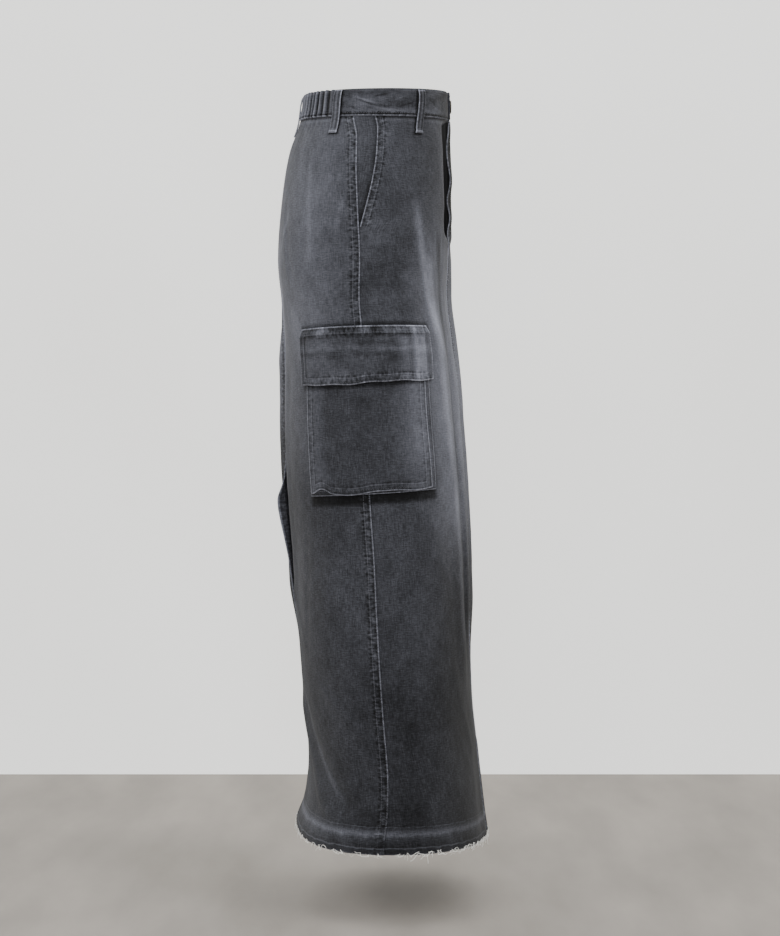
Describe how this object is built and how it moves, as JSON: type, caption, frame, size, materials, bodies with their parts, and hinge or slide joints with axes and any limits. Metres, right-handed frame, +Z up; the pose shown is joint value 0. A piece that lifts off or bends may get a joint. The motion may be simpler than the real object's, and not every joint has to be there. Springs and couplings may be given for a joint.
{
  "type": "cargo utility skirt",
  "caption": "Long straight denim skirt with an elastic-backed waistband, slanted hip pockets, flapped cargo pockets, a back slit and a frayed hem.",
  "frame": {"origin": "middle of the waist opening, half-way up the waistband", "axes": "+Z up along the skirt, -Y towards the skirt's front, -X towards the wearer's right"},
  "size_m": [0.4661, 0.2712, 0.968],
  "materials": {
    "denim": "washed black denim, matt",
    "denim_dark": "washed black denim, matt, less faded",
    "thread": "undyed weft threads, matt",
    "metal": "aged metal, satin"
  },
  "bodies": {
    "root": {"front_right": "denim", "front_left": "denim", "back_right": "denim_dark", "back_left": "denim_dark", "hip_facing_right": "denim_dark", "hip_facing_left": "denim_dark", "waistband_front_right": "denim", "waistband_front_left": "denim", "waistband_back": "denim_dark", "belt_loop_front_right": "denim", "belt_loop_side_right": "denim", "belt_loop_back": "denim", "belt_loop_side_left": "denim", "belt_loop_front_left": "denim", "cargo_gusset_right": "denim_dark", "cargo_pocket_right": "denim", "cargo_flap_right": "denim", "cargo_gusset_left": "denim_dark", "cargo_pocket_left": "denim", "cargo_flap_left": "denim", "fray_front": "thread", "fray_back_right": "thread", "fray_back_left": "thread", "button": "metal"}
  },
  "joints": []
}
